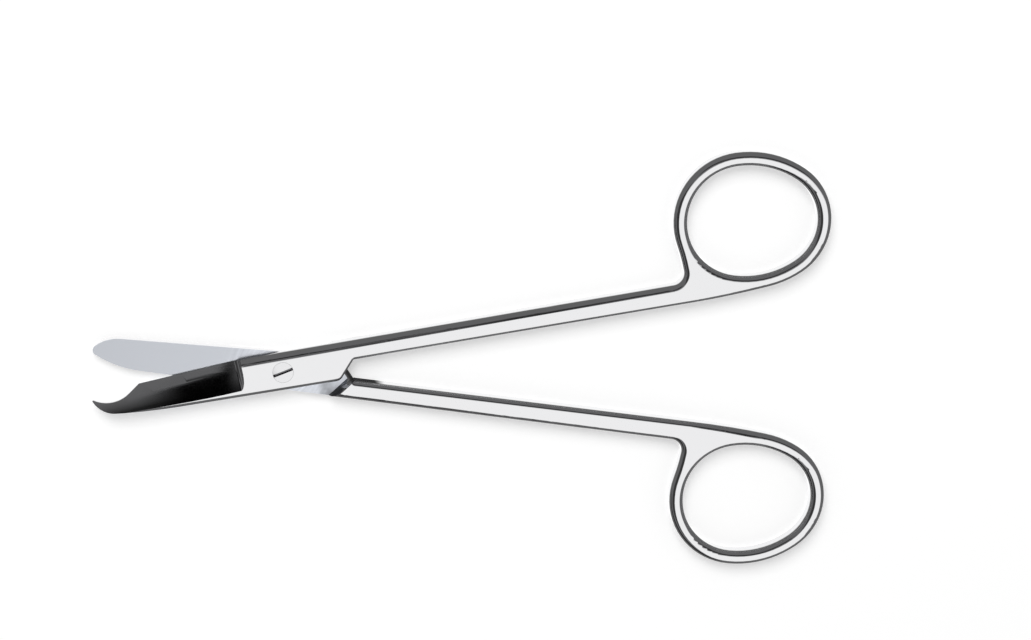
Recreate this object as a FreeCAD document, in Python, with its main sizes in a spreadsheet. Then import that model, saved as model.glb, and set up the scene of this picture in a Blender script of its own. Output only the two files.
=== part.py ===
"""Suture scissors: a hooked half and a plain half, crossed on a slotted screw.

Both halves start from one pattern of drop forging: a finger ring, a shank, the flat box round the
screw and a blunt bar for the blade. Each half is drawn in its own frame, with the pivot axis on Z,
the rings towards +X, its own ring on the +Y side and its lap face looking down. The plain half is
then turned over about X, so that each half's lap face and shoulder fit the other's.
"""
import FreeCAD, Part
import os
from math import atan2, cos, degrees, radians, sin, sqrt, tan

import Sketcher
from FreeCAD import Placement, Rotation, Vector

SIZES = [
    ("thickness", 3.6, "full thickness of shank, ring and crossed box"),
    ("lap_play", 0.04, "gap between the two lap faces"),
    ("open_angle", 16.4, "angle between the shanks as the scissors lie open"),
    ("blade_reach", 35.75, "pivot to the tips of the blades"),
    ("bar_spare", 4.25, "length of the forging's blunt bar beyond the tips"),
    ("box_edge", 3.62, "pivot to the box's edge away from the ring"),
    ("outer_edge", 3.7, "pivot to the box's edge on the ring side"),
    ("outer_slope", 0.55, "angle that the outer edge opens towards the ring"),
    ("inner_edge", 0.14, "centre line to the shank's inner edge, at the crotch"),
    ("inner_slope", 0.33, "angle of the shank's inner edge"),
    ("corner_round", 2.0, "box corner in front of the slant"),
    ("crotch_round", 0.4, "corner where slant and shank meet"),
    ("shoulder_reach", 10.5, "pivot to the shoulder, square to it, at the outer face"),
    ("shoulder_angle", 40.0, "shoulder and slant, from straight across"),
    ("shoulder_lean", 29.0, "shoulder and slant, from upright"),
    ("closing_gap", 0.15, "slant to the other half's shoulder when closed"),
    ("ring_along", 90.13, "pivot to the near centre of the finger ring, along X"),
    ("ring_gap", 1.12, "centre line to the finger ring"),
    ("ring_turn", 8.7, "ring's long axis, turned in towards the other ring"),
    ("ring_stretch", 4.97, "near centre to far centre of the ring"),
    ("near_radius", 10.6, "finger hole, end at the shank"),
    ("far_radius", 9.38, "finger hole, far end"),
    ("side_radius", 16.76, "finger hole, flat sides"),
    ("ring_width", 2.66, "rim of the ring, seen from above"),
    ("web_round", 180.0, "sweep of the shank's inner edge into the ring"),
    ("neck_round", 2.3, "fillet between the shank's outer edge and the ring"),
    ("neck_before", 1.37, "centre of that fillet to the ring's near end, along X"),
    ("neck_sweep", 35.0, "hollow curve between that fillet and the ring"),
    ("outer_round", 1.62, "upper edge along the outside of shank and box"),
    ("box_round", 1.15, "upper edge of box and blade on the other side"),
    ("inner_round", 0.93, "upper edge along the inside of the shank"),
    ("ring_round", 1.12, "upper edges of the finger ring"),
    ("under_bevel", 0.5, "edges all along the side that lies on the table"),
    ("hook_radius", 4.8, "outside of the hook"),
    ("hook_behind", 4.05, "blade tip to the centre of the hook's outside, along X"),
    ("hook_depth", 2.76, "centre line to the outside of the hook"),
    ("point_radius", 0.15, "rounding of the hook's point"),
    ("belly_length", 19.85, "blade tip to where the back starts to rise to the hook"),
    ("notch_length", 8.75, "blade tip to the corner of the notch"),
    ("notch_height", 2.0, "centre line to the corner of the notch"),
    ("notch_radius", 6.1, "curve of the notch"),
    ("notch_behind", 3.09, "blade tip to the lowest point of the notch"),
    ("notch_floor", 0.65, "lowest point of the notch under the centre line"),
    ("hooked_edge_start", 4.0, "line of the hooked blade's cutting edge at the pivot"),
    ("nose_radius", 1.0, "nose of the plain blade"),
    ("nose_back", 7.0, "curve between the nose and the plain blade's back"),
    ("back_drop", 3.56, "line of the plain blade's back at the pivot"),
    ("back_slope", 2.2, "taper of the plain blade's back"),
    ("toe_radius", 20.0, "cutting edge running down to the nose"),
    ("toe_length", 9.25, "blade tip to where the cutting edge starts to run down"),
    ("toe_height", 3.33, "centre line to the plain cutting edge at that place"),
    ("plain_edge_start", 3.73, "line of the plain cutting edge at the pivot"),
    ("grind_radius", 38.5, "radius of the wheel that hollows the outer face"),
    ("grind_sweep", 1000.0, "lengthwise curve of the hollow"),
    ("grind_deepest", 9.0, "pivot to the deepest place of the hollow"),
    ("grind_runout", 8.2, "pivot to the wall where the hollow ends"),
    ("grind_corner", 1.2, "corner between the hollow and that wall"),
    ("wheel_reach", 8.0, "cutting edge to the wheel's axis, in plan"),
    ("edge_land", 0.16, "thickness left at the cutting edge"),
    ("head_radius", 1.95, "screw head"),
    ("head_land", 0.2, "straight rim of the screw head"),
    ("head_rise", 0.08, "crown of the screw head over the box"),
    ("stem_radius", 1.25, "screw stem, and its thread in the plain half"),
    ("screw_play", 0.03, "gap round the screw in the hooked half"),
    ("slot_width", 0.55, "driver slot"),
    ("slot_depth", 0.65, "driver slot"),
    ("slot_angle", 20.7, "driver slot, from X"),
]
PLACES = [
    (
        "side_along",
        "=((side_radius - near_radius) ^ 2 - (side_radius - far_radius) ^ 2 + ring_stretch ^ 2)"
        " / (2 * ring_stretch)",
        "near centre of the ring to the centres of its flat sides, along its long axis",
    ),
    ("side_across", "=sqrt((side_radius - near_radius) ^ 2 - side_along ^ 2)", "the same, across that axis"),
    ("side_height", "=side_across * cos(ring_turn) - side_along * sin(ring_turn)", "the same, along Y"),
    ("ring_across", "=ring_gap + ring_width + side_radius - side_height", "centre line to the near centre"),
    ("neck_along", "=ring_along - near_radius - ring_width - neck_before", "pivot to that fillet's centre"),
    ("blank_reach", "=blade_reach + bar_spare", "pivot to the front end of the forging's bar"),
    ("hook_centre", "=blade_reach - hook_behind", "pivot to the centre of the hook's outside"),
    ("belly_start", "=blade_reach - belly_length", "pivot to where the hooked blade's back rises"),
    ("notch_corner", "=blade_reach - notch_length", "pivot to the corner of the notch"),
    ("notch_centre", "=blade_reach - notch_behind", "pivot to the lowest point of the notch"),
    ("toe_start", "=blade_reach - toe_length", "pivot to where the plain edge runs down"),
]

doc = FreeCAD.newDocument("SutureScissors")
sheet = doc.addObject("Spreadsheet::Sheet", "Sizes")
for row, (alias, value, note) in enumerate(SIZES + PLACES, start=1):
    sheet.set(f"A{row}", note)
    sheet.set(f"B{row}", str(value))
    sheet.setAlias(f"B{row}", alias)
doc.recompute()


def size(alias):
    return float(sheet.get(alias))


START, END, CENTRE = 1, 2, 3
ORIGIN = (-1, 1)
UPRIGHT = -2
CLEAR = 8  # how far a cut runs out past the metal
NEAR = 0.01  # two lengths closer than this are the same


def plane(body, role):
    return next(item for item in body.Origin.OriginFeatures if item.Role == role)


def add_sketch(body, name, role="XY_Plane"):
    sketch = body.newObject("Sketcher::SketchObject", name)
    sketch.AttachmentSupport = [(plane(body, role), "")]
    sketch.MapMode = "FlatFace"
    return sketch


def dimension(sketch, kind, where, expression):
    """Adds a dimension whose value the sheet gives."""
    value = float(sketch.evalExpression(expression))
    if kind == "Angle":
        value = radians(value)
    index = sketch.addConstraint(Sketcher.Constraint(kind, *where, value))
    sketch.setExpression(f"Constraints[{index}]", expression)


def place_point(sketch, piece, vertex, across, along):
    """Holds a point at the X and Y that two expressions give; an X of 0 is on the upright axis."""
    if across == "0":
        sketch.addConstraint(Sketcher.Constraint("PointOnObject", piece, vertex, UPRIGHT))
    else:
        dimension(sketch, "DistanceX", (*ORIGIN, piece, vertex), across)
    dimension(sketch, "DistanceY", (*ORIGIN, piece, vertex), along)


def line(first, last):
    return Part.LineSegment(Vector(*first), Vector(*last))


def arc(centre, radius, first, last):
    """Arc from one direction to another, anticlockwise, in degrees."""
    circle = Part.Circle(Vector(*centre), Vector(0, 0, 1), radius)
    return Part.ArcOfCircle(circle, radians(first), radians(last))


def direction(start, finish):
    return degrees(atan2(finish[1] - start[1], finish[0] - start[0]))


def touching(centre, radius, other, other_radius, side):
    """Where two circles cross, on the side (1 or -1) to the left of the way between their centres."""
    dx, dy = other[0] - centre[0], other[1] - centre[1]
    gap = sqrt(dx * dx + dy * dy)
    along = (radius**2 - other_radius**2 + gap**2) / (2 * gap)
    across = side * sqrt(radius**2 - along**2)
    return (centre[0] + (along * dx - across * dy) / gap, centre[1] + (along * dy + across * dx) / gap)


def chain(sketch, pieces, closed):
    """Joins lines and arcs in order, each tangent to the next.

    pieces is a list of (geometry, forward); forward is False where the outline runs the piece
    backwards, as it does each arc that turns clockwise.
    """
    numbers = [sketch.addGeometry(geometry, False) for geometry, _ in pieces]
    count = len(pieces)
    for k in range(count if closed else count - 1):
        after = (k + 1) % count
        leave = END if pieces[k][1] else START
        enter = START if pieces[after][1] else END
        sketch.addConstraint(Sketcher.Constraint("Tangent", numbers[k], leave, numbers[after], enter))
    return numbers


def oval_frame(rim):
    """Centres of the four arcs of the ring, at a rim outside the finger hole, and their radii."""
    near = (size("ring_along"), size("ring_across"))
    turn = radians(-size("ring_turn"))
    side = size("side_radius") + rim
    along, across = size("side_along"), size("side_across")

    def at(u, v):
        return (near[0] + u * cos(turn) - v * sin(turn), near[1] + u * sin(turn) + v * cos(turn))

    return {
        "near": (near, size("near_radius") + rim),
        "far": (at(size("ring_stretch"), 0), size("far_radius") + rim),
        "low": (at(along, across), side),
        "high": (at(along, -across), side),
    }


def dimension_oval(sketch, near, far, low, high, rim):
    """Sizes the four arcs of the ring, given as geometry numbers."""
    place_point(sketch, near, CENTRE, "Sizes.ring_along", "Sizes.ring_across")
    frame = oval_frame(0)
    axis = sketch.addGeometry(line(frame["near"][0], frame["far"][0]), True)
    sketch.addConstraint(Sketcher.Constraint("Coincident", axis, START, near, CENTRE))
    sketch.addConstraint(Sketcher.Constraint("Coincident", axis, END, far, CENTRE))
    dimension(sketch, "Distance", (axis,), "Sizes.ring_stretch")
    dimension(sketch, "Angle", (axis,), "-Sizes.ring_turn")
    dimension(sketch, "Radius", (near,), f"Sizes.near_radius + {rim}")
    dimension(sketch, "Radius", (far,), f"Sizes.far_radius + {rim}")
    dimension(sketch, "Radius", (low,), f"Sizes.side_radius + {rim}")
    dimension(sketch, "Radius", (high,), f"Sizes.side_radius + {rim}")


def outline_forging(sketch):
    """Outline of blunt bar, box, slant, shank and ring, anticlockwise from the bar's front end."""
    reach = size("blank_reach")
    low_y = -size("box_edge")
    slant = radians(size("shoulder_angle"))
    slant_reach = size("shoulder_reach") - size("closing_gap")
    oval = oval_frame(size("ring_width"))

    def on_slant(y):
        return ((slant_reach + y * sin(slant)) / cos(slant), y)

    corner = size("corner_round")
    back = corner * tan((radians(90) - slant) / 2)
    corner_start = (on_slant(low_y)[0] - back, low_y)
    corner_centre = (corner_start[0], low_y + corner)
    slant_start = (corner_centre[0] + corner * cos(slant), corner_centre[1] - corner * sin(slant))

    inner_y = size("inner_edge")
    rise = radians(size("inner_slope"))
    crotch = size("crotch_round")
    crotch_back = crotch * tan((radians(90) - slant - rise) / 2)
    knee = on_slant(inner_y)
    slant_end = (knee[0] - crotch_back * sin(slant), knee[1] - crotch_back * cos(slant))
    crotch_centre = (slant_end[0] + crotch * cos(slant), slant_end[1] - crotch * sin(slant))
    inner_start = (crotch_centre[0] - crotch * sin(rise), crotch_centre[1] + crotch * cos(rise))

    low_centre, low_radius = oval["low"]
    far_centre, far_radius = oval["far"]
    high_centre, high_radius = oval["high"]
    near_centre, near_radius = oval["near"]
    web = size("web_round")
    web_y = inner_start[1] + web
    web_x = low_centre[0] - sqrt((web - low_radius) ** 2 - (web_y - low_centre[1]) ** 2)
    web_centre = (web_x, web_y)
    web_end = direction(web_centre, low_centre)
    low_far = direction(low_centre, far_centre)
    high_far = direction(high_centre, far_centre)
    high_near = direction(high_centre, near_centre)

    neck, sweep = size("neck_round"), size("neck_sweep")
    outer_slope = radians(size("outer_slope"))
    outer_rise = tan(outer_slope)
    neck_x = size("neck_along")
    neck_centre = (neck_x, size("outer_edge") + outer_rise * neck_x + neck / cos(outer_slope))
    sweep_centre = touching(near_centre, near_radius + sweep, neck_centre, sweep - neck, -1)
    near_sweep = direction(near_centre, sweep_centre) % 360
    sweep_neck = direction(sweep_centre, neck_centre)

    bar_low = (-reach, low_y)
    bar_high = (-reach, size("outer_edge") - outer_rise * reach)
    outer_end = (neck_x + neck * sin(outer_slope), neck_centre[1] - neck * cos(outer_slope))
    pieces = [
        (line(bar_low, corner_start), True),
        (arc(corner_centre, corner, -90, -degrees(slant)), True),
        (line(slant_start, slant_end), True),
        (arc(crotch_centre, crotch, 90 + degrees(rise), 180 - degrees(slant)), False),
        (line(inner_start, (web_x, inner_start[1])), True),
        (arc(web_centre, web, -90 + degrees(rise), web_end), True),
        (arc(low_centre, low_radius, web_end, low_far), True),
        (arc(far_centre, far_radius, low_far, high_far), True),
        (arc(high_centre, high_radius, high_far, high_near), True),
        (arc(near_centre, near_radius, high_near, near_sweep), True),
        (arc(sweep_centre, sweep, sweep_neck, near_sweep - 180), False),
        (arc(neck_centre, neck, size("outer_slope") - 90, sweep_neck), False),
        (line(bar_high, outer_end), False),
    ]
    numbers = chain(sketch, pieces, closed=False)
    box, corner_arc, slope, crotch_arc, inner, web_arc = numbers[:6]
    low, far, high, near, sweep_arc, neck_arc, outer = numbers[6:]
    front = sketch.addGeometry(line(bar_high, bar_low), False)
    for piece, vertex, own in ((outer, START, START), (box, START, END)):
        sketch.addConstraint(Sketcher.Constraint("Coincident", piece, vertex, front, own))
    sketch.addConstraint(Sketcher.Constraint("Horizontal", box))
    sketch.addConstraint(Sketcher.Constraint("Vertical", front))
    place_point(sketch, box, START, "-Sizes.blank_reach", "-Sizes.box_edge")
    dimension(sketch, "Radius", (corner_arc,), "Sizes.corner_round")
    dimension(sketch, "Angle", (slope,), "90 - Sizes.shoulder_angle")
    dimension(sketch, "Distance", (*ORIGIN, slope), "Sizes.shoulder_reach - Sizes.closing_gap")
    dimension(sketch, "Radius", (crotch_arc,), "Sizes.crotch_round")
    dimension(sketch, "DistanceY", (*ORIGIN, inner, START), "Sizes.inner_edge")
    dimension(sketch, "Angle", (inner,), "Sizes.inner_slope")
    dimension(sketch, "Radius", (web_arc,), "Sizes.web_round")
    dimension_oval(sketch, near, far, low, high, "Sizes.ring_width")
    sketch.addConstraint(Sketcher.Constraint("Tangent", low, near))
    dimension(sketch, "Radius", (sweep_arc,), "Sizes.neck_sweep")
    dimension(sketch, "Radius", (neck_arc,), "Sizes.neck_round")
    dimension(sketch, "DistanceX", (*ORIGIN, neck_arc, CENTRE), "Sizes.neck_along")
    dimension(sketch, "Angle", (outer,), "Sizes.outer_slope")
    front_height = "Sizes.outer_edge - Sizes.blank_reach * tan(Sizes.outer_slope)"
    dimension(sketch, "DistanceY", (*ORIGIN, outer, START), front_height)


def pad(body, sketch, name, expression):
    feature = body.newObject("PartDesign::Pad", name)
    feature.Profile = sketch
    feature.setExpression("Length", expression)
    return feature


def cut_through(body, sketch, name):
    feature = body.newObject("PartDesign::Pocket", name)
    feature.Profile = sketch
    feature.Type = "ThroughAll"
    feature.Midplane = True
    return feature


def make_forging(name, upper):
    """Drop forging of one half, its long edges rounded on the upper side and bevelled underneath.

    upper is the height, 0 or the full thickness, of the side that is up when the scissors lie open.
    """
    body = doc.addObject("PartDesign::Body", f"{name}Blank")
    outline = add_sketch(body, f"{name}Outline")
    outline_forging(outline)
    pad(body, outline, f"{name}Plate", "Sizes.thickness")
    hole = add_sketch(body, f"{name}FingerHole")
    oval = oval_frame(0)
    turns = [("low", "near", "far"), ("far", "low", "high"), ("high", "far", "near"), ("near", "high", "low")]
    pieces = []
    for own, before, after in turns:
        centre, radius = oval[own]
        if own in ("low", "high"):
            first, last = direction(centre, oval[before][0]), direction(centre, oval[after][0])
        else:
            first, last = direction(oval[before][0], centre), direction(oval[after][0], centre)
        pieces.append((arc(centre, radius, first, last if last > first else last + 360), True))
    low, far, high, near = chain(hole, pieces, closed=True)
    dimension_oval(hole, near, far, low, high, "0")
    cut_through(body, hole, f"{name}FingerCut")
    doc.recompute()
    rounded = doc.addObject("Part::Fillet", f"{name}Rounded")
    rounded.Base = body
    rounded.Edges = list(rounding(body.Shape, upper))
    doc.recompute()
    bevelled = doc.addObject("Part::Chamfer", f"{name}Bevelled")
    bevelled.Base = rounded
    bevel = size("under_bevel")
    under = size("thickness") - upper
    bevelled.Edges = [(number, bevel, bevel) for number, _ in long_edges(rounded.Shape, under)]
    doc.recompute()
    return bevelled


def long_edges(shape, height):
    """Numbers and edges of the outline at a height, without the front end of the bar."""
    for number, edge in enumerate(shape.Edges, start=1):
        box = edge.BoundBox
        level = max(abs(box.ZMin - height), abs(box.ZMax - height)) < NEAR
        if level and box.XMax > NEAR - size("blank_reach"):
            yield number, edge


def rounding(shape, height):
    """Radius at both ends of each long edge: outside of the shank, box, inside, and the ring."""
    outer, box_side, inner, ring = (size(f"{name}_round") for name in ("outer", "box", "inner", "ring"))
    rims = [radius for rim in (0, size("ring_width")) for _, radius in oval_frame(rim).values()]
    rims.append(size("neck_sweep"))
    changes = {"web_round": (inner, ring), "neck_round": (outer, ring), "corner_round": (box_side, inner)}
    for number, edge in long_edges(shape, height):
        radius = getattr(edge.Curve, "Radius", 0)
        change = next((ends for name, ends in changes.items() if abs(radius - size(name)) < NEAR), None)
        if change:
            yield (number, *in_order(edge, *change))
        elif any(abs(radius - rim) < NEAR for rim in rims):
            yield (number, ring, ring)
        elif radius == 0 and edge.BoundBox.XMin < NEAR - size("blank_reach"):
            along = outer if edge.BoundBox.YMin > 0 else box_side
            yield (number, along, along)
        else:
            yield (number, inner, inner)


def in_order(edge, nearer, farther):
    """Radii at the edge's start and end, given those at its ends nearer and farther from the pivot."""
    starts_nearer = edge.Vertexes[0].Point.x < edge.Vertexes[-1].Point.x
    return (nearer, farther) if starts_nearer else (farther, nearer)


def turned_sketch(body, name, role, turn):
    """Sketch on a plane through the pivot, turned about Z by an expression in degrees."""
    sketch = add_sketch(body, name, role)
    axis = Vector(0, 1, 0) if role == "XZ_Plane" else Vector(0, 0, 1)
    sketch.AttachmentOffset = Placement(Vector(), Rotation(axis, float(sketch.evalExpression(turn))))
    sketch.setExpression("AttachmentOffset.Rotation.Angle", turn)
    return sketch


def polygon(sketch, corners):
    """Closed outline of straight lines through corners whose X and Y are expressions."""
    points = [tuple(float(sketch.evalExpression(value)) for value in corner) for corner in corners]
    count = len(points)
    sides = [sketch.addGeometry(line(points[k], points[(k + 1) % count]), False) for k in range(count)]
    for k, (across, along) in enumerate(corners):
        sketch.addConstraint(Sketcher.Constraint("Coincident", sides[k - 1], END, sides[k], START))
        place_point(sketch, sides[k], START, across, along)
    return sides


LAP = "Sizes.thickness / 2 + Sizes.lap_play / 2"
SLANT = "(Sizes.shoulder_reach - Sizes.closing_gap)"


def cut_lap(half, name):
    """Takes the lower half of blade and box away, up to the leaning shoulder on the shank."""
    sketch = turned_sketch(half, f"{name}LapSection", "XZ_Plane", "Sizes.shoulder_angle")
    foot = f"Sizes.shoulder_reach - ({LAP}) * tan(Sizes.shoulder_lean)"
    front = f"-Sizes.blank_reach - {CLEAR}"
    polygon(sketch, [
        (front, f"-{CLEAR}"), ("Sizes.shoulder_reach", f"-{CLEAR}"), ("Sizes.shoulder_reach", "0"),
        (foot, LAP), (front, LAP),
    ])
    cut_through(half, sketch, f"{name}Lap")


def cut_slant(half, name):
    """Leans the box's slant under, so that it lies along the other half's shoulder when closed."""
    sketch = turned_sketch(half, f"{name}SlantSection", "XZ_Plane", "-Sizes.shoulder_angle")
    foot = f"{SLANT} - Sizes.thickness * tan(Sizes.shoulder_lean)"
    outside = f"{SLANT} + Sizes.corner_round"
    polygon(sketch, [(SLANT, "Sizes.thickness"), (foot, "0"), (outside, "0"), (outside, "Sizes.thickness")])
    feature = half.newObject("PartDesign::Pocket", f"{name}Slant")
    feature.Profile = sketch
    crotch = f"{SLANT} * tan(Sizes.shoulder_angle) + Sizes.inner_edge / cos(Sizes.shoulder_angle)"
    feature.setExpression("Length", crotch)


def close_outside(sketch, first, first_end, last, last_end):
    """Runs the cut's outline round the blade at a distance, from its last piece back to its first."""
    front = f"-Sizes.blank_reach - {CLEAR}"
    start = sketch.getPoint(last, last_end)
    finish = sketch.getPoint(first, first_end)
    reach = -size("blank_reach") - CLEAR
    points = [(start.x, start.y), (start.x, CLEAR), (reach, CLEAR), (reach, -CLEAR), (finish.x, -CLEAR)]
    points.append((finish.x, finish.y))
    sides = [sketch.addGeometry(line(*pair), False) for pair in zip(points, points[1:])]
    sketch.addConstraint(Sketcher.Constraint("Coincident", last, last_end, sides[0], START))
    for before, after in zip(sides, sides[1:]):
        sketch.addConstraint(Sketcher.Constraint("Coincident", before, END, after, START))
    sketch.addConstraint(Sketcher.Constraint("Coincident", sides[-1], END, first, first_end))
    for side in sides[::2]:
        sketch.addConstraint(Sketcher.Constraint("Vertical", side))
    for side in sides[1::2]:
        sketch.addConstraint(Sketcher.Constraint("Horizontal", side))
    place_point(sketch, sides[2], START, front, str(CLEAR))
    dimension(sketch, "DistanceY", (*ORIGIN, sides[2], END), f"-{CLEAR}")


def cut_hooked_blade(half):
    """Grinds the outline of the hooked blade: back, hook, notch and cutting edge."""
    sketch = add_sketch(half, "HookedBladeOutline")
    hook, point, notch = (size(f"{name}_radius") for name in ("hook", "point", "notch"))
    hook_centre = (-size("hook_centre"), hook - size("hook_depth"))
    notch_centre = (-size("notch_centre"), notch - size("notch_floor"))
    back_start = (-size("belly_start"), -size("box_edge"))
    rise = size("box_edge") - size("hook_depth")
    run = size("hook_centre") - size("belly_start")
    belly = hook + rise / 2 + run**2 / (2 * rise)
    belly_centre = (back_start[0], back_start[1] + belly)
    point_centre = touching(hook_centre, hook - point, notch_centre, notch + point, 1)
    corner = (-size("notch_corner"), size("notch_height"))
    reach = sqrt((corner[0] - notch_centre[0]) ** 2 + (corner[1] - notch_centre[1]) ** 2)
    leave = direction(notch_centre, corner) - degrees(atan2(sqrt(reach**2 - notch**2), notch))
    turn = radians(leave)
    leave_point = (notch_centre[0] + notch * cos(turn), notch_centre[1] + notch * sin(turn))
    belly_hook = direction(belly_centre, hook_centre)
    hook_point = direction(hook_centre, point_centre)
    point_notch = direction(point_centre, notch_centre)
    pieces = [
        (arc(belly_centre, belly, belly_hook, -90), False),
        (arc(hook_centre, hook, hook_point, belly_hook), False),
        (arc(point_centre, point, point_notch, hook_point + 360), False),
        (arc(notch_centre, notch, point_notch + 180, leave + 360), True),
        (line(leave_point, corner), True),
    ]
    belly_arc, hook_arc, point_arc, notch_arc, ramp = chain(sketch, pieces, closed=False)
    edge = sketch.addGeometry(line(corner, (0, size("hooked_edge_start"))), False)
    sketch.addConstraint(Sketcher.Constraint("Coincident", ramp, END, edge, START))
    place_point(sketch, belly_arc, END, "-Sizes.belly_start", "-Sizes.box_edge")
    dimension(sketch, "DistanceX", (*ORIGIN, belly_arc, CENTRE), "-Sizes.belly_start")
    dimension(sketch, "Radius", (hook_arc,), "Sizes.hook_radius")
    place_point(sketch, hook_arc, CENTRE, "-Sizes.hook_centre", "Sizes.hook_radius - Sizes.hook_depth")
    dimension(sketch, "Radius", (point_arc,), "Sizes.point_radius")
    dimension(sketch, "Radius", (notch_arc,), "Sizes.notch_radius")
    place_point(sketch, notch_arc, CENTRE, "-Sizes.notch_centre", "Sizes.notch_radius - Sizes.notch_floor")
    place_point(sketch, edge, START, "-Sizes.notch_corner", "Sizes.notch_height")
    place_point(sketch, edge, END, "0", "Sizes.hooked_edge_start")
    close_outside(sketch, belly_arc, END, edge, END)
    cut_through(half, sketch, "HookedBlade")


def cut_plain_blade(half):
    """Grinds the outline of the plain blade: tapering back, round nose and cutting edge."""
    sketch = add_sketch(half, "PlainBladeOutline")
    toe, nose = size("toe_radius"), size("nose_radius")
    edge_start = (-size("toe_start"), size("toe_height"))
    edge_end = (0, size("plain_edge_start"))
    rise = radians(direction(edge_start, edge_end))
    toe_centre = (edge_start[0] + toe * sin(rise), edge_start[1] - toe * cos(rise))
    slope = radians(size("back_slope"))
    drop, flank = size("back_drop"), size("nose_back")
    nose_x = nose - size("blade_reach")
    nose_centre = (nose_x, toe_centre[1] + sqrt((toe - nose) ** 2 - (nose_x - toe_centre[0]) ** 2))
    height = (nose_centre[1] + drop + nose_x * tan(slope)) * cos(slope)
    ahead = sqrt((flank - nose) ** 2 - (flank - height) ** 2)
    flank_centre = (
        nose_x + (flank - height) * sin(slope) + ahead * cos(slope),
        nose_centre[1] + (flank - height) * cos(slope) - ahead * sin(slope),
    )
    back_end = (flank_centre[0] - flank * sin(slope), flank_centre[1] - flank * cos(slope))
    flank_nose = direction(flank_centre, nose_centre) % 360
    toe_nose = direction(toe_centre, nose_centre)
    pieces = [
        (line((0, -drop), back_end), True),
        (arc(flank_centre, flank, flank_nose, 270 - size("back_slope")), False),
        (arc(nose_centre, nose, toe_nose, flank_nose), False),
        (arc(toe_centre, toe, 90 + degrees(rise), toe_nose), False),
        (line(edge_start, edge_end), True),
    ]
    back, flank_arc, nose_arc, toe_arc, edge = chain(sketch, pieces, closed=False)
    place_point(sketch, back, START, "0", "-Sizes.back_drop")
    dimension(sketch, "Angle", (back,), "180 - Sizes.back_slope")
    dimension(sketch, "Radius", (flank_arc,), "Sizes.nose_back")
    dimension(sketch, "Radius", (nose_arc,), "Sizes.nose_radius")
    dimension(sketch, "DistanceX", (nose_arc, CENTRE, *ORIGIN), "Sizes.blade_reach - Sizes.nose_radius")
    dimension(sketch, "Radius", (toe_arc,), "Sizes.toe_radius")
    place_point(sketch, edge, START, "-Sizes.toe_start", "Sizes.toe_height")
    place_point(sketch, edge, END, "0", "Sizes.plain_edge_start")
    close_outside(sketch, back, START, edge, END)
    cut_through(half, sketch, "PlainBlade")


def grind_hollow(half, name, edge_start, edge_slope):
    """Hollows the blade's outer face with a large wheel that runs out at a wall by the box."""
    sketch = turned_sketch(half, f"{name}Wheel", "XZ_Plane", edge_slope)
    sketch.setExpression("AttachmentOffset.Base.z", f"-({edge_start} + Sizes.wheel_reach)")
    wheel, sweep, corner = size("grind_radius"), size("grind_sweep"), size("grind_corner")
    bottom = "Sizes.thickness / 2 + Sizes.edge_land - Sizes.grind_radius"
    bottom += " + sqrt(Sizes.grind_radius ^ 2 - Sizes.wheel_reach ^ 2)"
    low = float(sketch.evalExpression(bottom))
    deepest, wall = -size("grind_deepest"), -size("grind_runout")
    front = -size("blank_reach") - CLEAR
    top = size("thickness") + CLEAR
    centre = (deepest, low + sweep)
    corner_x = wall - corner
    corner_y = centre[1] - sqrt((sweep - corner) ** 2 - (corner_x - deepest) ** 2)
    leave = direction(centre, (corner_x, corner_y))
    begin = -90 - degrees(atan2(deepest - front, sweep))
    begin_point = (centre[0] + sweep * cos(radians(begin)), centre[1] + sweep * sin(radians(begin)))
    pieces = [
        (arc(centre, sweep, begin, leave), True),
        (arc((corner_x, corner_y), corner, leave, 0), True),
        (line((wall, corner_y), (wall, top)), True),
    ]
    floor, corner_arc, end_wall = chain(sketch, pieces, closed=False)
    lid = sketch.addGeometry(line((wall, top), (begin_point[0], top)), False)
    front_wall = sketch.addGeometry(line((begin_point[0], top), begin_point), False)
    for before, before_end, after in ((end_wall, END, lid), (lid, END, front_wall), (front_wall, END, floor)):
        sketch.addConstraint(Sketcher.Constraint("Coincident", before, before_end, after, START))
    sketch.addConstraint(Sketcher.Constraint("Vertical", end_wall))
    sketch.addConstraint(Sketcher.Constraint("Horizontal", lid))
    sketch.addConstraint(Sketcher.Constraint("Vertical", front_wall))
    place_point(sketch, floor, CENTRE, "-Sizes.grind_deepest", f"{bottom} + Sizes.grind_sweep")
    dimension(sketch, "Radius", (floor,), "Sizes.grind_sweep")
    dimension(sketch, "Radius", (corner_arc,), "Sizes.grind_corner")
    place_point(sketch, end_wall, END, "-Sizes.grind_runout", f"Sizes.thickness + {CLEAR}")
    dimension(sketch, "DistanceX", (*ORIGIN, front_wall, START), f"-Sizes.blank_reach - {CLEAR}")
    axle = sketch.addGeometry(line((front, low + wheel), (wall, low + wheel)), True)
    sketch.addConstraint(Sketcher.Constraint("Horizontal", axle))
    place_point(sketch, axle, START, f"-Sizes.blank_reach - {CLEAR}", f"{bottom} + Sizes.grind_radius")
    dimension(sketch, "DistanceX", (*ORIGIN, axle, END), "-Sizes.grind_runout")
    feature = half.newObject("PartDesign::Groove", f"{name}Hollow")
    feature.Profile = sketch
    feature.ReferenceAxis = (sketch, ["Axis0"])
    feature.Angle = 360


def turned_about_pivot(half, kind, sketch, name):
    feature = half.newObject(kind, name)
    feature.Profile = sketch
    feature.ReferenceAxis = (sketch, ["V_Axis"])
    feature.Angle = 360
    return feature


def screw_section(play):
    """Radius and height at the stem's top, the head's foot and its rim, as expressions."""
    head = f"Sizes.head_radius + {play}"
    stem = f"Sizes.stem_radius + {play}"
    rim = "Sizes.thickness - Sizes.head_land"
    return stem, head, f"{rim} - (Sizes.head_radius - Sizes.stem_radius)", rim


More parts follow.
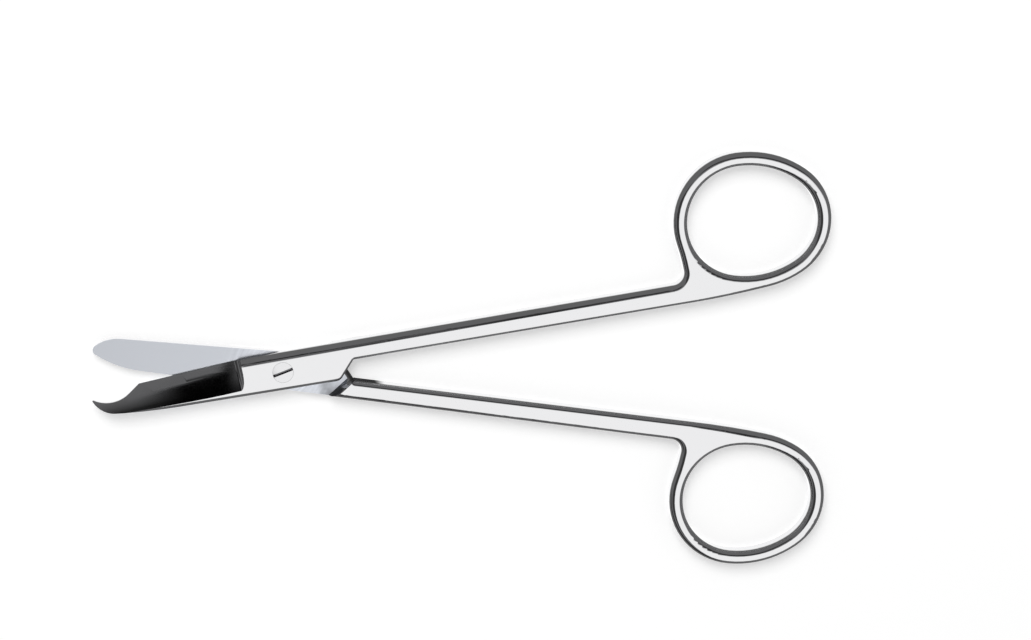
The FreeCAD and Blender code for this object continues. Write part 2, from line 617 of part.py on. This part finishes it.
def sink_screw(half):
    """Countersunk hole of the hooked half, a running fit round the screw."""
    sketch = add_sketch(half, "ScrewSeatSection", "XZ_Plane")
    stem, head, foot, rim = screw_section("Sizes.screw_play")
    polygon(sketch, [
        ("0", f"-{CLEAR}"), (stem, f"-{CLEAR}"), (stem, foot), (head, rim),
        (head, f"Sizes.thickness + {CLEAR}"), ("0", f"Sizes.thickness + {CLEAR}"),
    ])
    turned_about_pivot(half, "PartDesign::Groove", sketch, "ScrewSeat")


def tap_screw_hole(half):
    """Hole of the plain half, where the screw's thread holds."""
    sketch = add_sketch(half, "ThreadHoleSection")
    circle = sketch.addGeometry(Part.Circle(Vector(), Vector(0, 0, 1), size("stem_radius")), False)
    sketch.addConstraint(Sketcher.Constraint("Coincident", circle, CENTRE, *ORIGIN))
    dimension(sketch, "Radius", (circle,), "Sizes.stem_radius")
    cut_through(half, sketch, "ThreadHole")


def make_half(forging, label):
    half = doc.addObject("PartDesign::Body", label)
    half.Label = label
    half.BaseFeature = forging
    doc.recompute()
    return half


def make_screw():
    """Slotted screw with a low crowned head, its end filed flush under the plain half."""
    screw = doc.addObject("PartDesign::Body", "pivot_screw")
    screw.Label = "pivot_screw"
    section = add_sketch(screw, "ScrewSection", "XZ_Plane")
    stem, head, foot, rim = screw_section("0")
    crown = section.evalExpression("(Sizes.head_radius ^ 2 + Sizes.head_rise ^ 2) / (2 * Sizes.head_rise)")
    top = size("thickness") + size("head_rise")
    polygon_corners = [("0", "0"), (stem, "0"), (stem, foot), (head, rim), (head, "Sizes.thickness")]
    points = [tuple(float(section.evalExpression(value)) for value in corner) for corner in polygon_corners]
    sides = [section.addGeometry(line(*pair), False) for pair in zip(points, points[1:])]
    crown_centre = (0, top - crown)
    crown_arc = section.addGeometry(arc(crown_centre, crown, direction(crown_centre, points[-1]), 90), False)
    core = section.addGeometry(line((0, top), (0, 0)), False)
    ring = [*sides, crown_arc, core]
    for k, piece in enumerate(ring):
        section.addConstraint(Sketcher.Constraint("Coincident", ring[k - 1], END, piece, START))
    section.addConstraint(Sketcher.Constraint("Coincident", sides[0], START, *ORIGIN))
    for side, (across, along) in zip([*sides[1:], crown_arc], polygon_corners[1:]):
        if along == "0":
            section.addConstraint(Sketcher.Constraint("Horizontal", sides[0]))
            dimension(section, "DistanceX", (*ORIGIN, side, START), across)
        else:
            place_point(section, side, START, across, along)
    section.addConstraint(Sketcher.Constraint("PointOnObject", crown_arc, CENTRE, UPRIGHT))
    place_point(section, core, START, "0", "Sizes.thickness + Sizes.head_rise")
    turned_about_pivot(screw, "PartDesign::Revolution", section, "ScrewTurned")
    slot = turned_sketch(screw, "SlotOutline", "XY_Plane", "Sizes.slot_angle")
    slot.setExpression("AttachmentOffset.Base.z", "Sizes.thickness + Sizes.head_rise")
    ends, sides_y = "2 * Sizes.head_radius", "Sizes.slot_width / 2"
    polygon(slot, [
        (f"-{ends}", f"-{sides_y}"), (ends, f"-{sides_y}"), (ends, sides_y), (f"-{ends}", sides_y),
    ])
    cut = screw.newObject("PartDesign::Pocket", "Slot")
    cut.Profile = slot
    cut.setExpression("Length", "Sizes.slot_depth")
    return screw


hooked_half = make_half(make_forging("Hooked", size("thickness")), "hooked_half")
cut_lap(hooked_half, "Hooked")
cut_slant(hooked_half, "Hooked")
cut_hooked_blade(hooked_half)
hooked_slope = "(atan((Sizes.hooked_edge_start - Sizes.notch_height) / Sizes.notch_corner) / 1 deg)"
grind_hollow(hooked_half, "Hooked", "Sizes.hooked_edge_start", hooked_slope)
sink_screw(hooked_half)

plain_half = make_half(make_forging("Plain", 0), "plain_half")
cut_lap(plain_half, "Plain")
cut_slant(plain_half, "Plain")
cut_plain_blade(plain_half)
plain_slope = "(atan((Sizes.plain_edge_start - Sizes.toe_height) / Sizes.toe_start) / 1 deg)"
grind_hollow(plain_half, "Plain", "Sizes.plain_edge_start", plain_slope)
tap_screw_hole(plain_half)

pivot_screw = make_screw()
doc.recompute()

half_open = size("open_angle") / 2
hooked_half.Placement = Placement(Vector(), Rotation(Vector(0, 0, 1), half_open))
turned_over = Placement(Vector(0, 0, size("thickness")), Rotation(Vector(1, 0, 0), 180))
plain_half.Placement = Placement(Vector(), Rotation(Vector(0, 0, 1), -half_open)) * turned_over
doc.recompute()

for item in doc.Objects:
    if "Invalid" in item.State or "Error" in item.State:
        raise RuntimeError(f"{item.Name} did not build: {item.State}")

os.makedirs("parts", exist_ok=True)
for part in (hooked_half, plain_half, pivot_screw):
    if part.Shape.isNull() or not part.Shape.isValid():
        raise RuntimeError(f"{part.Label} is not a valid solid")
    part.Shape.exportStep(f"parts/{part.Label}.step")
    print(part.Label, len(part.Shape.Solids), round(part.Shape.Volume, 2))
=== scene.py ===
"""Suture scissors in polished stainless steel, lying open on a white table."""

from math import cos, radians, sin

import bmesh
import bpy
from mathutils import Matrix, Vector

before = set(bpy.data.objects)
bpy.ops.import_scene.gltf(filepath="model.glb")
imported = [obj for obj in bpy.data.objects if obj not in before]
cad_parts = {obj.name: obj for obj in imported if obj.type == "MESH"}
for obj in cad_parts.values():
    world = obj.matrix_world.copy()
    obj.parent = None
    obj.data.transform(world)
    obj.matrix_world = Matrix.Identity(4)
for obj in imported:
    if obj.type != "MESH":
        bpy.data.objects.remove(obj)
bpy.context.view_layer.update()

# The two halves
# Each is one forging of stainless steel. Its outside is buffed to a mirror, with the faint draw of
# the buffing wheel along it. Its lap face is left satin, as the surface grinder leaves it, and is
# rubbed brighter round the screw and darker, in a ragged patch, at the shoulder's foot.

STEEL = (0.66, 0.66, 0.668, 1)
BUFFED_ROUGHNESS = 0.075
BUFFING_STRETCH = (220, 5200, 2600)
HALF_OPEN = radians(8.2)
DRAW_DETAIL = 3.0
PATCH_DETAIL = 2.0
NOISE_MIDDLE = 0.5
HAZE_SCALE = 90.0
HAZE = 0.10
HAZE_MIDDLE = 0.025
WAVE_STRENGTH = 0.06
WAVE_DEPTH = 0.0002

LAP_STEEL = (0.68, 0.705, 0.755)
GROUND_ROUGHNESS = 0.36
LAP_HEIGHT = 0.0018
LAP_REACH = (0.00004, 0.00006)
RING_SCALE = 1500.0
PATCH_SCALE = 420.0
RUB_REACH = (0.00325, 0.013)
RUB_LIFT = 0.16
RUB_DEPTH = 0.6
# The ragged darker patch on the lap face at the shoulder's foot.
DARKENING_PLACE = (0.0088, -0.0046, 0)
DARKENING_REACH = 0.0032
DARKENING_TONE = 0.45


class Nodes:
    """Adds nodes to one tree and joins them."""

    def __init__(self, tree):
        self.tree = tree

    def add(self, kind, inputs=(), **settings):
        node = self.tree.nodes.new(kind)
        for name, value in settings.items():
            setattr(node, name, value)
        for socket, value in dict(inputs).items():
            self.feed(node.inputs[socket], value)
        return node

    def feed(self, socket, value):
        """Joins an output to the socket, or sets a constant on it."""
        if isinstance(value, bpy.types.NodeSocket):
            self.tree.links.new(value, socket)
        else:
            socket.default_value = value

    def point(self):
        """The place on the object."""
        return self.add("ShaderNodeTexCoord").outputs["Object"]

    def turn(self, point, angle):
        """The point, turned about Z."""
        inputs = {"Vector": point, "Rotation": (0, 0, angle)}
        return self.add("ShaderNodeMapping", inputs).outputs[0]

    def axes(self, point):
        """The point's X, Y and Z."""
        return self.add("ShaderNodeSeparateXYZ", {0: point}).outputs

    def noise(self, inputs, scale, detail, **settings):
        """Cloudy pattern from 0 to 1."""
        inputs = {**inputs, "Scale": scale, "Detail": detail}
        return self.add("ShaderNodeTexNoise", inputs, **settings).outputs["Fac"]

    def math(self, operation, first, second=0.0):
        return self.add("ShaderNodeMath", {0: first, 1: second}, operation=operation).outputs[0]

    def vector(self, operation, first, second=(0, 0, 0)):
        return self.add("ShaderNodeVectorMath", {0: first, 1: second}, operation=operation)

    def step(self, value, low, high, bottom=0.0, top=1.0):
        """Smooth rise from bottom at low to top at high."""
        ends = {"From Min": low, "From Max": high, "To Min": bottom, "To Max": top}
        inputs = {"Value": value, **ends}
        return self.add("ShaderNodeMapRange", inputs, interpolation_type="SMOOTHSTEP").outputs[0]

    def band(self, value, low, rise, fall, high):
        """1 from rise to fall, and smoothly down to 0 at low and at high."""
        start = self.step(value, low, rise)
        end = self.step(value, fall, high, 1.0, 0.0)
        return self.math("MULTIPLY", start, end)

    def mix(self, share, first, second):
        """The first colour, with a share of the second."""
        node = self.add("ShaderNodeMix", data_type="RGBA")
        for name, value in (("Factor", share), ("A", first), ("B", second)):
            self.feed(next(s for s in node.inputs if s.name == name and s.enabled), value)
        return next(s for s in node.outputs if s.enabled)


def new_material(name):
    """A material with an empty tree, and the helper that fills it."""
    material = bpy.data.materials.new(name)
    material.use_nodes = True
    material.node_tree.nodes.clear()
    return material, Nodes(material.node_tree)


def new_group(name, inputs, outputs):
    """The helper that fills a new node group, which takes vectors and gives numbers."""
    group = bpy.data.node_groups.new(name, "ShaderNodeTree")
    for socket in inputs:
        group.interface.new_socket(socket, in_out="INPUT", socket_type="NodeSocketVector")
    for socket in outputs:
        group.interface.new_socket(socket, in_out="OUTPUT", socket_type="NodeSocketFloat")
    return Nodes(group)


def buffing_marks():
    """Group: how the haze and the height of a buffed face vary, in fine lines and broad patches."""
    nodes = new_group("buffing_marks", ("Point", "Stretch"), ("Haze", "Height"))
    given = nodes.add("NodeGroupInput").outputs
    drawn = nodes.vector("MULTIPLY", given["Point"], given["Stretch"]).outputs[0]
    fine = nodes.noise({"Vector": drawn}, 1.0, DRAW_DETAIL)
    broad = nodes.noise({"Vector": given["Point"]}, HAZE_SCALE, PATCH_DETAIL)
    haze = nodes.math("MULTIPLY", fine, broad)
    nodes.add("NodeGroupOutput", {"Haze": haze, "Height": broad})
    return nodes.tree


def lap_face():
    """Group: where the lap face is, and its tone with the rubbed rings and the darker patch at the
    shoulder's foot.
    """
    nodes = new_group("lap_face", ("Point",), ("Lap", "Tone"))
    point = nodes.add("NodeGroupInput").outputs["Point"]
    off_lap = nodes.math("ABSOLUTE", nodes.math("SUBTRACT", nodes.axes(point)["Z"], LAP_HEIGHT))
    lap = nodes.step(off_lap, *LAP_REACH, 1.0, 0.0)
    flat = nodes.vector("MULTIPLY", point, (1, 1, 0)).outputs[0]
    reach = nodes.vector("LENGTH", flat).outputs["Value"]
    rings = nodes.noise({"W": reach}, RING_SCALE, PATCH_DETAIL, noise_dimensions="1D")
    patches = nodes.noise({"Vector": flat}, PATCH_SCALE, PATCH_DETAIL)
    uneven = nodes.math("SUBTRACT", nodes.math("ADD", rings, patches), 2 * NOISE_MIDDLE)
    rub = nodes.math("ADD", nodes.math("MULTIPLY", uneven, RUB_DEPTH), RUB_LIFT)
    near = nodes.step(reach, *RUB_REACH, 1.0, 0.0)
    bright = nodes.math("ADD", nodes.math("MULTIPLY", rub, near), 1.0)
    # The lap face is darker in a ragged patch round the shoulder's foot.
    from_foot = nodes.vector("DISTANCE", flat, DARKENING_PLACE).outputs["Value"]
    border_wobble = nodes.math("MULTIPLY", nodes.math("SUBTRACT", patches, NOISE_MIDDLE), DARKENING_REACH)
    ragged = nodes.math("ADD", from_foot, border_wobble)
    darkening = nodes.step(ragged, 0.0, DARKENING_REACH, DARKENING_TONE, 1.0)
    nodes.add("NodeGroupOutput", {"Lap": lap, "Tone": nodes.math("MULTIPLY", bright, darkening)})
    return nodes.tree


MARKS = buffing_marks()
LAP_FACE = lap_face()


def buffed_steel(name, along, colour, roughness):
    """Steel buffed in the direction along, in the table's plane: material, helper and shader."""
    material, nodes = new_material(name)
    turned = nodes.turn(nodes.point(), -along)
    inputs = {"Point": turned, "Stretch": BUFFING_STRETCH}
    marks = nodes.add("ShaderNodeGroup", inputs, node_tree=MARKS).outputs
    haze = nodes.math("MULTIPLY", marks["Haze"], HAZE)
    waves = {"Height": marks["Height"], "Strength": WAVE_STRENGTH, "Distance": WAVE_DEPTH}
    shader = nodes.add(
        "ShaderNodeBsdfPrincipled",
        {
            "Base Color": colour,
            "Metallic": 1.0,
            "Roughness": nodes.math("ADD", haze, roughness - HAZE_MIDDLE),
            "Normal": nodes.add("ShaderNodeBump", waves).outputs[0],
        },
    )
    nodes.add("ShaderNodeOutputMaterial", {"Surface": shader.outputs[0]})
    return material, nodes, shader


def leave_lap_face_satin(nodes, shader):
    """Gives the lap face of a buffed half the surface grinder's finish."""
    face = nodes.add("ShaderNodeGroup", {"Point": nodes.point()}, node_tree=LAP_FACE).outputs
    satin = nodes.add(
        "ShaderNodeVectorMath", {0: LAP_STEEL, "Scale": face["Tone"]}, operation="SCALE"
    ).outputs[0]
    nodes.feed(shader.inputs["Base Color"], nodes.mix(face["Lap"], STEEL, satin))
    buffed = shader.inputs["Roughness"].links[0].from_socket
    rough = nodes.add("ShaderNodeMix", {0: face["Lap"], 2: buffed, 3: GROUND_ROUGHNESS}).outputs[0]
    nodes.feed(shader.inputs["Roughness"], rough)


for half, along in (("hooked_half", HALF_OPEN), ("plain_half", -HALF_OPEN)):
    steel, nodes, shader = buffed_steel(f"{half}_steel", along, STEEL, BUFFED_ROUGHNESS)
    leave_lap_face_satin(nodes, shader)
    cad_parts[half].material_slots[0].material = steel

# The pivot screw
# A slotted screw turned from stainless bar. Its low head was dressed level with the box after it
# was set, so it carries the same polish and shows only as a fine ring, with its slot painted dark
# as shade.

SCREW_STEEL = (0.645, 0.645, 0.653, 1)
SCREW_ROUGHNESS = 0.11
SLOT_PAINTED_SHADE = (0.14, 0.14, 0.145, 1)
SLOT_TURN = radians(20.7)
SLOT_SIDE = 0.0002755

steel, nodes, shader = buffed_steel("screw_steel", SLOT_TURN, SCREW_STEEL, SCREW_ROUGHNESS)
# The slot's recess is painted dark, as shade.
aside = nodes.math("ABSOLUTE", nodes.axes(nodes.turn(nodes.point(), -SLOT_TURN))["Y"])
in_slot = nodes.math("LESS_THAN", aside, SLOT_SIDE)
nodes.feed(shader.inputs["Base Color"], nodes.mix(in_slot, SCREW_STEEL, SLOT_PAINTED_SHADE))
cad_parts["pivot_screw"].material_slots[0].material = steel

# The table
# A white table that runs out of sight. It is matt and keeps the scissors' soft shadow. In the steel
# its reflection is painted: a white glow where it lies close by, painted shade in the narrow corner
# between the shanks, and a painted grey, like cloth, farther off.

TABLE_REACH = 3.0
TABLE_WHITE = (0.8, 0.8, 0.8, 1)
TABLE_LIFT = 0.41
# Glow of the table's painted reflection close by, its painted grey farther off, and its painted
# shade in the corner.
NEAR_REFLECTION_GLOW = 1.26
FAR_REFLECTION_GREY = 0.17
CORNER_REFLECTION_SHADE = 0.04
NEAR_END = 0.0024
FAR_START = 0.0044
SHADED_CORNER_PLACE = (0.0145, 0.0005, 0)
SHADED_CORNER_REACH = (0.004, 0.006)
WHITE = (1, 1, 1, 1)

mesh = bmesh.new()
bmesh.ops.create_grid(mesh, x_segments=1, y_segments=1, size=TABLE_REACH)
table = bpy.data.objects.new("table", bpy.data.meshes.new("table"))
mesh.to_mesh(table.data)
mesh.free()
bpy.context.scene.collection.objects.link(table)
white, nodes = new_material("table_white")
path = nodes.add("ShaderNodeLightPath").outputs
camera_lift = nodes.math("MULTIPLY", path["Is Camera Ray"], TABLE_LIFT)
lift = nodes.add("ShaderNodeEmission", {"Color": WHITE, "Strength": camera_lift})
matt = nodes.add("ShaderNodeBsdfDiffuse", {"Color": TABLE_WHITE})
seen = nodes.add("ShaderNodeAddShader", {0: matt.outputs[0], 1: lift.outputs[0]})
# Painted shade: the table's reflection in the steel darkens near the corner between the shanks.
from_corner = nodes.vector("DISTANCE", nodes.point(), SHADED_CORNER_PLACE).outputs["Value"]
near = nodes.step(from_corner, *SHADED_CORNER_REACH, CORNER_REFLECTION_SHADE, NEAR_REFLECTION_GLOW)
# Painted reflection: as the steel sees it, the table glows by how far the ray came, not by the
# light on it.
strength = nodes.step(path["Ray Length"], NEAR_END, FAR_START, near, FAR_REFLECTION_GREY)
painted_reflection = nodes.add("ShaderNodeEmission", {"Color": WHITE, "Strength": strength})
surface = nodes.add("ShaderNodeMixShader", {1: seen.outputs[0], 2: painted_reflection.outputs[0]})
nodes.feed(surface.inputs[0], path["Is Glossy Ray"])
nodes.add("ShaderNodeOutputMaterial", {"Surface": surface.outputs[0]})
table.data.materials.append(white)

# The studio
# A white tent and one soft lamp over its far side light the table. The steel shows the tent's near
# side as a soft box, a black card behind it, and grey cloth round both, which is darker in the hood
# at the blades' end and black in the fold beside the card and in the skirt under the box.

TENT = (0.36, 0.36, 0.36, 1)
BOX_WHITE = (1.27, 1.27, 1.27, 1)
CLOTH_GREY = (0.17, 0.17, 0.1734, 1)
FOLD_GREY = (0.01, 0.01, 0.01, 1)
HOOD_GREY = (0.05, 0.05, 0.05, 1)
CARD_GREY = (0.035, 0.035, 0.035, 1)
SKIRT_GREY = (0.02, 0.02, 0.02, 1)
LOWEST = 0.02
BOX_OVER, BOX_ACROSS = (-1.8, -1.5, -0.11, 0.08), (-0.25, -0.07, 0.8, 1.2)
CARD_OVER, CARD_ACROSS = (0.1, 0.2, 0.4, 0.7), (-0.045, 0.0, 0.6, 0.9)
FOLD_OVER, FOLD_ACROSS = (0.25, 0.44, 0.5, 0.8), (-0.5, -0.3, -0.08, -0.03)
HOOD_OVER, HOOD_START, HOOD_END = (-0.9, -0.6, 0.18, 0.28), (-2.0, -1.0), (-0.34, -0.22)
HOOD_LEAN = 0.3
SKIRT_OVER, SKIRT_ACROSS = (-1.8, -1.5), (-0.35, 0.0)
KEY_SIZE = 0.95
KEY_POWER = 17.5
KEY_PLACE = Vector((-0.33, 1.05, 1.35))
KEY_AIM = Vector((0.035, 0, 0))

world = bpy.data.worlds.new("studio")
bpy.context.scene.world = world
world.use_nodes = True
world.node_tree.nodes.clear()
nodes = Nodes(world.node_tree)
way = nodes.axes(nodes.add("ShaderNodeTexCoord").outputs["Generated"])
up = nodes.math("MAXIMUM", way["Z"], LOWEST)
across = nodes.math("DIVIDE", way["X"], up)
over = nodes.math("DIVIDE", way["Y"], up)
leaning = nodes.math("ADD", across, nodes.math("MULTIPLY", over, HOOD_LEAN))


def patch(over_share, across_share):
    """The part of the tent that lies in both shares."""
    return nodes.math("MULTIPLY", over_share, across_share)


hood_across = patch(nodes.step(across, *HOOD_START), nodes.step(leaning, *HOOD_END, 1.0, 0.0))
hood = patch(nodes.band(over, *HOOD_OVER), hood_across)
fold = patch(nodes.band(over, *FOLD_OVER), nodes.band(across, *FOLD_ACROSS))
card = patch(nodes.band(over, *CARD_OVER), nodes.band(across, *CARD_ACROSS))
box = patch(nodes.band(over, *BOX_OVER), nodes.band(across, *BOX_ACROSS))
skirt = patch(
    nodes.step(over, *SKIRT_OVER, 1.0, 0.0), nodes.step(across, *SKIRT_ACROSS, 1.0, 0.0)
)
studio = CLOTH_GREY
for share, grey in (
    (fold, FOLD_GREY),
    (hood, HOOD_GREY),
    (skirt, SKIRT_GREY),
    (card, CARD_GREY),
    (box, BOX_WHITE),
):
    studio = nodes.mix(share, studio, grey)
path = nodes.add("ShaderNodeLightPath").outputs
tent = nodes.mix(path["Is Camera Ray"], TENT, WHITE)
colour = nodes.mix(path["Is Glossy Ray"], tent, studio)
background = nodes.add("ShaderNodeBackground", {"Color": colour, "Strength": 1.0})
nodes.add("ShaderNodeOutputWorld", {"Surface": background.outputs[0]})

key = bpy.data.objects.new("key", bpy.data.lights.new("key", "AREA"))
key.data.size = KEY_SIZE
key.data.energy = KEY_POWER
key.location = KEY_PLACE
key.rotation_euler = (KEY_AIM - KEY_PLACE).to_track_quat("-Z", "Y").to_euler()
key.visible_glossy = False
bpy.context.scene.collection.objects.link(key)

# The flag
# A small black velvet flag on an arm over the blades. Only the hollow of the hooked blade reflects
# it, as the black patch that shows how deep the blade is ground.

FLAG_HEIGHT = 0.06
FLAG_LENGTH = 0.030
FLAG_WIDTH = 0.013
FLAG_PLACE = (-0.021, 0.0175)
FLAG_FADE = 0.011
FLAG_HEM = (0.0015, 0.0025)
FLAG_LEAN = 0.47
FLAG_END = (0.0034, 0.0078)

mesh = bmesh.new()
flag_size = Matrix.Diagonal((FLAG_LENGTH, FLAG_WIDTH, 1, 1))
bmesh.ops.create_grid(mesh, x_segments=1, y_segments=1, size=0.5, matrix=flag_size)
flag = bpy.data.objects.new("flag", bpy.data.meshes.new("flag"))
mesh.to_mesh(flag.data)
mesh.free()
flag.location = (*FLAG_PLACE, FLAG_HEIGHT)
bpy.context.scene.collection.objects.link(flag)
flag.visible_camera = flag.visible_diffuse = flag.visible_shadow = flag.visible_transmission = False
velvet, nodes = new_material("flag_velvet")
place = nodes.axes(nodes.point())
from_start = nodes.math("ADD", place["X"], FLAG_LENGTH / 2)
from_hem = nodes.math("ADD", place["Y"], FLAG_WIDTH / 2)
to_end = nodes.math("ADD", place["X"], nodes.math("MULTIPLY", place["Y"], FLAG_LEAN))
start = nodes.step(from_start, 0.0, FLAG_FADE)
cover = nodes.math("MULTIPLY", start, nodes.step(from_hem, *FLAG_HEM))
cover = nodes.math("MULTIPLY", cover, nodes.step(to_end, *FLAG_END, 1.0, 0.0))
black = nodes.add("ShaderNodeEmission", {"Color": (0, 0, 0, 1)})
clear = nodes.add("ShaderNodeBsdfTransparent")
surface = nodes.add("ShaderNodeMixShader", {0: cover, 1: clear.outputs[0], 2: black.outputs[0]})
nodes.add("ShaderNodeOutputMaterial", {"Surface": surface.outputs[0]})
flag.data.materials.append(velvet)

# The camera
# A still camera on a stand looks down from the rings' far side, 15 degrees from upright. Its long
# lens keeps the blades and the rings to one scale.

TILT = radians(14.9)
AROUND = radians(112.3)
DISTANCE = 0.6
LOOK_AT = Vector((0.04427, 0.00835, 0))
ROLL = radians(0.17)
LENS = 110.34
SENSOR = 36

back = Vector((sin(TILT) * cos(AROUND), sin(TILT) * sin(AROUND), cos(TILT)))
right = Vector((0, 1, 0)).cross(back).normalized()
turn = Matrix.Rotation(ROLL, 3, "Z")
pose = (turn @ Matrix((right, back.cross(right), back)).transposed()).to_4x4()
pose.translation = LOOK_AT + turn @ back * DISTANCE
camera = bpy.data.objects.new("camera", bpy.data.cameras.new("camera"))
camera.data.lens = LENS
camera.data.sensor_width = SENSOR
camera.matrix_world = pose
bpy.context.scene.collection.objects.link(camera)
bpy.context.scene.camera = camera
bpy.context.scene.view_settings.view_transform = "Standard"
